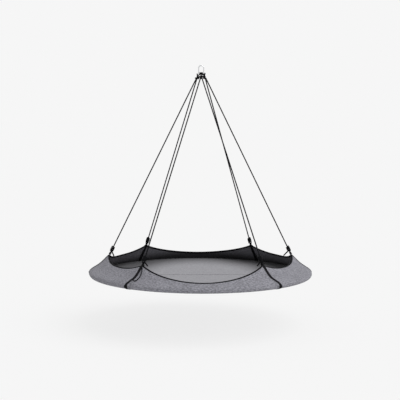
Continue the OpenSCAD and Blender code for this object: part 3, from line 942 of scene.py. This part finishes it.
def strapOutline(offset):
    hoopC, eyeC = padRadius + strap["gap"] + offset, eyeInner + offset
    eyeSteps, hoopSteps = strap["eyeSteps"], strap["hoopSteps"]
    toEye, toSlit, slitToEye = eyePoint - hoopMiddle, slitPoint - hoopMiddle, eyePoint - slitPoint
    top = atan2(toEye.y, toEye.x) - acos((hoopC - eyeC) / toEye.length)
    low = atan2(toSlit.y, toSlit.x) + 2 * pi + acos((hoopC - offset) / toSlit.length)
    back = atan2(slitToEye.y, slitToEye.x) + acos((offset - eyeC) / slitToEye.length)
    points = [eyePoint + eyeC * unit(top + n * (back - top) / eyeSteps) for n in range(eyeSteps + 1)]
    points += [slitPoint + offset * unit(a) for a in (back, (low + back) / 2, low)]
    points += [hoopMiddle + hoopC * unit(low + n * (2 * pi + top - low) / hoopSteps)
               for n in range(hoopSteps + 1)]
    return points


# The strap's outer leg lies close on the wall and dips with it.
def drawnToWall(p):
    normal, foot = wallLine(peakPoint)
    up = peakPoint - foot
    out = (p - foot).dot(normal)
    if out < strap["outerLeg"]:
        return p
    t = (p - foot).dot(up) / up.length ** 2
    close = smooth(*strap["joins"], t) * (1 - smooth(*strap["leaves"], t))
    spare = out - (hoop["cover"] + strap["gap"] + strap["thick"] / 2)
    return p - normal * (dipAt(t, up.length) + close * max(spare, 0))


# The angle along the hoop by which a strap's foot is pushed aside, at a point of its outline
def slipAt(k, p):
    normal, foot = wallLine(peakPoint)
    up = peakPoint - foot
    turn = degrees(atan2(p.y, p.x - hoopMiddle.x))
    share = 0
    if turn < 0:
        share = smooth(*strap["slipUnder"], turn)
    elif (p - foot).dot(normal) > strap["outerLeg"] or turn < strap["slipTurn"]:
        share = 1 - smooth(*strap["slipUp"], (p - foot).dot(up) / up.length_squared)
    return share * strap["footSlip"].get(k, 0) / p.x


def radialPlane(azimuth, p, across):
    side = Vector((-sin(azimuth), cos(azimuth), 0))
    return spun(p, azimuth) + side * across


# A flat band's section with round edges: shares of its half width and half thickness
def bandSection():
    def rounded(value):
        return copysign(abs(value) ** strap["edgePower"], value)
    turns = [2 * pi * j / strap["around"] for j in range(strap["around"])]
    return [(rounded(cos(a)), rounded(sin(a))) for a in turns]


# Twine pulls the strap's two legs together just under the eye.
def pinched(p, lean):
    across = Vector((lean.y, -lean.x))
    along = (p - eyePoint).dot(lean)
    near = max(0, 1 - abs(along + strap["pinchDrop"]) / strap["pinchRun"])
    return p - across * (p - eyePoint).dot(across) * strap["pinch"] * near * near * (3 - 2 * near)


# Near its eye the webbing is folded in three: narrow, thick and close round the rope
def makeStrap(k):
    name, azimuth = rim["positions"][k], strapAzimuths[k]
    outline = strapOutline(strap["thick"] / 2)
    plain = resampled(outline + [outline[0]], strap["rows"])
    lean = Vector((-sin(eyeLean), cos(eyeLean)))
    line = [pinched(drawnToWall(p), lean) for p in plain]
    run = distances(line)
    top, flat = rim["peakRise"] + strap["foldRise"], strap["thick"] * strap["flatShare"]
    spare = eyeInner - ropeRadius - strap["ropeRoom"]
    rows, uvs = [], []
    for n, p in enumerate(line):
        t = (line[(n + 1) % strap["rows"]] - line[(n - 1) % strap["rows"]]).normalized()
        outward = Vector((t.y, -t.x))
        folded = smooth(top - strap["foldRun"], top, p.y)
        bearing = smooth(*strap["bearing"], (p - eyePoint).dot(lean) / eyeInner)
        half = (strap["width"] * (1 - folded) + cordage["eyeWidth"] * folded) / 2
        thick = flat + (strap["foldThick"] - flat) * folded
        shift = (thick - flat) / 2 - spare * folded * (1 - bearing)
        turned = azimuth + slipAt(k, plain[n])
        row, uvRow = [], []
        for x, y in bandSection():
            crease = strap["crease"] * folded * max(0, 1 - abs(x) * 3) if y > 0 else 0
            row.append(radialPlane(turned, p + outward * (shift + thick / 2 * (y - crease)), x * half))
            uvRow.append((x * strap["width"] / 2, run[n]))
        rows.append(row + row[:1])
        uvs.append(uvRow + uvRow[:1])
    bm = bmesh.new()
    shapedGrid(bm, rows, uvs, wrapped=True)
    bmesh.ops.recalc_face_normals(bm, faces=bm.faces)
    return refined(finished(bm, "strap_band_" + name, webbing, ["strap_" + name]))


def makePatch(k):
    radius, steps = padRadius + strap["gap"] + strap["thick"] + patch["thick"] / 2, patch["steps"]
    rows, uvs = [], []
    for n in range(steps + 1):
        angle = radians(patch["from"] + (patch["to"] - patch["from"]) * n / steps)
        p = hoopMiddle + radius * unit(angle)
        turned = strapAzimuths[k] + slipAt(k, p)
        narrow = 1 - patch["taper"] * (2 * n / steps - 1) ** 8
        shares = [2 * m / steps - 1 for m in range(steps + 1)]
        rows.append([radialPlane(turned, p, share * narrow * patch["width"] / 2) for share in shares])
        uvs.append([(share * patch["width"] / 2, angle * radius) for share in shares])
    bm = bmesh.new()
    shapedGrid(bm, rows, uvs)
    piece = finished(bm, "strap_patch_" + rim["positions"][k], webbing)
    return refined(thickened(piece, patch["thick"]))


seizing = {"diameter": 0.0032, "radial": 0.0088, "across": 0.0070, "low": -0.0118, "turns": 2.2,
           "pitchShare": 1.02, "step": 0.0012}


def makeSeizing(k):
    pitch = seizing["diameter"] * seizing["pitchShare"]
    path = [Vector((p.x * seizing["radial"], p.y * seizing["across"], p.z))
            for p in spiral(1, seizing["low"], seizing["turns"], pi / 3, pitch)]
    bm = bmesh.new()
    braidedTube(bm, smoothPath(path, seizing["step"]), seizing["diameter"] / 2, (True, True))
    bm.transform(atEye(k))
    return finished(bm, "eye_seizing_" + rim["positions"][k], rope)


for make in (makeStrap, makeSeizing, makePatch):
    for k in range(6):
        make(k)
print("straps made")

# Foam sleeves inside the cover
quarters = ["front_right", "back_right", "back_left", "front_left"]
sleeve = {"around": 40, "along": 60}


def makeFoamSleeve(q):
    bm = bmesh.new()
    stand = Matrix.Rotation(radians(90 * q - 90), 4, "Z") @ Matrix.Translation((hoopRadius, 0, hoopZ))
    for radius in (foamRadius, hoop["tubeRadius"] + hoop["seat"]):
        bmesh.ops.create_circle(bm, cap_ends=False, segments=sleeve["around"], radius=radius,
                                matrix=stand @ Matrix.Rotation(pi / 2, 4, "X"))
    bmesh.ops.bridge_loops(bm, edges=bm.edges)
    bmesh.ops.spin(bm, geom=bm.verts[:] + bm.edges[:] + bm.faces[:], cent=(0, 0, 0), axis=(0, 0, 1),
                   angle=pi / 2 - hoop["seat"] / hoopRadius, steps=sleeve["along"],
                   use_merge=False, use_duplicate=False)
    bmesh.ops.remove_doubles(bm, verts=bm.verts, dist=1e-6)
    openEdges = [e for e in bm.edges if e.is_boundary]
    if openEdges:
        bmesh.ops.bridge_loops(bm, edges=openEdges)
    bmesh.ops.recalc_face_normals(bm, faces=bm.faces)
    finished(bm, "foam_" + quarters[q], foam, ["foam_sleeve_" + quarters[q]])


for q in range(4):
    makeFoamSleeve(q)
print("foam made")

# Stitches
stitch = {"pitch": 0.0052, "length": 0.0036, "thread": 0.00055, "proud": 0.4,
          "fromEdge": 0.0018, "fromEnds": 0.003, "stationMm": 8}


# Rows of short thread segments laid on a surface: each path is points with their normals
def stitchRows(paths, name, material):
    template = bmesh.new()
    bmesh.ops.create_icosphere(template, subdivisions=1, radius=1)
    shape = bpy.data.meshes.new("stitchShape")
    template.to_mesh(shape)
    template.free()
    size = Matrix.Diagonal((stitch["length"] / 2, stitch["thread"], stitch["thread"], 1))
    bm = bmesh.new()
    for points in paths:
        run = distances([p for p, _ in points])
        count = max(1, round(run[-1] / stitch["pitch"]))
        k = 0
        for n in range(count):
            want = (n + 0.5) * run[-1] / count
            while k < len(run) - 2 and run[k + 1] < want:
                k += 1
            (a, na), (b, nb) = points[k], points[k + 1]
            t = (want - run[k]) / max(run[k + 1] - run[k], 1e-9)
            along, normal = (b - a).normalized(), na.lerp(nb, t).normalized()
            turn = Matrix((along, normal.cross(along).normalized(), normal)).transposed().to_4x4()
            place = Matrix.Translation(a.lerp(b, t) + normal * stitch["thread"] * stitch["proud"])
            before = len(bm.verts)
            bm.from_mesh(shape)
            bm.verts.ensure_lookup_table()
            bmesh.ops.transform(bm, matrix=place @ turn @ size, verts=bm.verts[before:])
    bpy.data.meshes.remove(shape)
    finished(bm, name, material)


def tapeStitches(i, onLining):
    points = []
    for share in sharesAcross(i, endShare(i, binding["strapHalf"] + stitch["fromEnds"]), stitch["stationMm"]):
        p, azimuth = rimPoint(i, share), sectorAzimuth(i, share)
        path = tapePath(p)
        a, b = (path[-1], path[-2]) if onLining else (path[0], path[1])
        normal = liningNormal(p) if onLining else wallLine(p)[0]
        at = a + (b - a).normalized() * stitch["fromEdge"] + normal * binding["thick"] / 2
        points.append((spun(at, azimuth), spun(normal, azimuth) - Vector((0, 0, hoopZ))))
    return points


seams = {"rowGap": 0.004, "floorReach": 0.855, "floorSteps": 40,
         "coverTurn": 4.4, "coverFrom": 0.03, "coverTo": 0.93, "coverSteps": 16}


# The floor's left to right seam, and the upright seam in the middle of the front and the back cover
def floorStitches(side):
    steps, lift = seams["floorSteps"], Vector((0, 0, hoop["floor"] / 2))
    return [(floorAt(seams["floorReach"] * n / steps, side * seams["rowGap"]) + lift, Vector((0, 0, 1)))
            for n in range(-steps, steps + 1)]


def onWall(i, azimuth, t, out):
    a, b = sectorEnds(i)
    p = rimPoint(i, (a + b - 2 * azimuth) / (a - b))
    normal, foot = wallLine(p)
    return spun(foot.lerp(p, t) + normal * (out - dipAt(t, (p - foot).length)), azimuth)


def coverStitches(i, side):
    a, b = sectorEnds(i)
    azimuth = (a + b) / 2 + radians(seams["coverTurn"]) + side * seams["rowGap"] / hoopRadius
    low, high, steps = seams["coverFrom"], seams["coverTo"], seams["coverSteps"]
    normal = onWall(i, azimuth, 0.5, 1) - onWall(i, azimuth, 0.5, 0)
    return [(onWall(i, azimuth, low + (high - low) * n / steps, hoop["cover"]), normal)
            for n in range(steps + 1)]


stitchRows([tapeStitches(i, inner) for i in range(6) for inner in (False, True)],
           "tape_stitches", stitchThread)
stitchRows([floorStitches(side) for side in (-1, 1)], "floor_stitches", stitchThread)
stitchRows([coverStitches(i, side) for i in (1, 4) for side in (-1, 1)],
           "cover_stitches", paleThread)
print("stitches made")

# Loose cord beside the front left strap
looseCord = {
    # azimuth in degrees and share of the way from the hoop up to the rim
    "route": [(-127.0, 0.90), (-126.1, 0.80), (-125.6, 0.70), (-125.1, 0.53), (-125.1, 0.34), (-125.7, 0.22),
              (-126.5, 0.195), (-127.1, 0.22)],
    "diameter": 0.007,
    "clear": 0.0004,
}


def makeLooseCord():
    radius = looseCord["diameter"] / 2
    out = hoop["cover"] + wall["ripple"] + radius + looseCord["clear"]
    path = smoothPath([onWall(4, radians(a), t, out) for a, t in looseCord["route"]], braid["step"])
    piece = ropePiece(path, radius, "loose_cord", roundEnds=(True, True))


makeLooseCord()

# Hook: the CAD pieces keep their shape
finishes = {"hook_body": steel, "hook_gate": steel, "hook_rivet": steel, "gate_plunger": steel,
            "gate_spring": steel, "ring_spigots": ringPaint,
            **{"ring_tube_" + q: ringPaint for q in quarters}}
for name, finish in finishes.items():
    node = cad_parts[name]
    if not node.material_slots:
        node.data.materials.append(finish)
    for materialSlot in node.material_slots:
        materialSlot.material = finish


def makeRivetHeads():
    bm = bmesh.new()
    across = (hook["width"] - hook["wire"]) / 2
    pivot = Vector((across, 0, footZ + hook["footRadius"] + hook["pivotRise"]))
    for side in (-1, 1):
        face = Matrix.Translation(pivot + Vector((0, side * (hook["gate"] / 2 + hook["headProud"]), 0)))
        bmesh.ops.create_uvsphere(bm, u_segments=24, v_segments=12, radius=hook["rivet"] * hook["headShare"],
                                  matrix=face @ Matrix.Diagonal((1, hook["headFlat"], 1, 1)))
    finished(bm, "rivet_heads", steel, body="hook")


makeRivetHeads()
print("hook dressed")

# Floor, light and background
studio = {
    "floorDrop": 0.446,      # below the hoop's plane
    "floorSize": 90,
    "backdrop": 0.922,       # the photograph's pale background
    "floorShare": 0.13,      # how much of the floor's own shading the camera sees
    "sky": 0.50,
    "sunFrom": (0.62, -0.40, 1.0),
    "sunLevel": 0.50,        # on level ground
    "sunAngle": 60,
}


def makeStudio():
    bm = bmesh.new()
    bmesh.ops.create_grid(bm, x_segments=1, y_segments=1, size=studio["floorSize"],
                          matrix=Matrix.Translation((0, 0, hoopZ - studio["floorDrop"])))
    mesh = bpy.data.meshes.new("studioFloor")
    bm.to_mesh(mesh)
    bm.free()
    inScene("studioFloor", mesh)
    material = bpy.data.materials.new("studioFloor")
    material.use_nodes = True
    tree = material.node_tree
    tree.nodes.remove(tree.nodes["Principled BSDF"])
    pale = (studio["backdrop"],) * 3 + (1,)
    own = newNode(tree, "BsdfDiffuse", {"Color": pale})
    glow = newNode(tree, "Emission", {"Color": pale})
    share = times(tree, seenDirectly(tree), 1 - studio["floorShare"])
    mix = newNode(tree, "MixShader", {0: share, 1: own.outputs[0], 2: glow.outputs[0]})
    tree.links.new(mix.outputs[0], tree.nodes["Material Output"].inputs["Surface"])
    mesh.materials.append(material)


def seenDirectly(tree):
    path = tree.nodes.new("ShaderNodeLightPath")
    mirrored = calc(tree, "MAXIMUM", path.outputs["Is Glossy Ray"], path.outputs["Is Transmission Ray"])
    return calc(tree, "MAXIMUM", path.outputs["Is Camera Ray"], mirrored)


def makeLight():
    world = bpy.data.worlds.new("studio")
    bpy.context.scene.world = world
    world.use_nodes = True
    tree = world.node_tree
    light = tree.nodes["Background"]
    light.inputs["Color"].default_value = (1, 1, 1, 1)
    light.inputs["Strength"].default_value = studio["sky"]
    seen = newNode(tree, "Background", {"Color": (studio["backdrop"],) * 3 + (1,)})
    mix = newNode(tree, "MixShader", {0: seenDirectly(tree), 1: light.outputs[0], 2: seen.outputs[0]})
    tree.links.new(mix.outputs[0], tree.nodes["World Output"].inputs["Surface"])
    source = Vector(studio["sunFrom"]).normalized()
    data = bpy.data.lights.new("sun", "SUN")
    data.energy = studio["sunLevel"] * pi / source.z
    data.angle = radians(studio["sunAngle"])
    inScene("sun", data).rotation_euler = source.to_track_quat("Z", "Y").to_euler()


makeStudio()
makeLight()
bpy.context.scene.view_settings.view_transform = "Standard"
print("studio made")
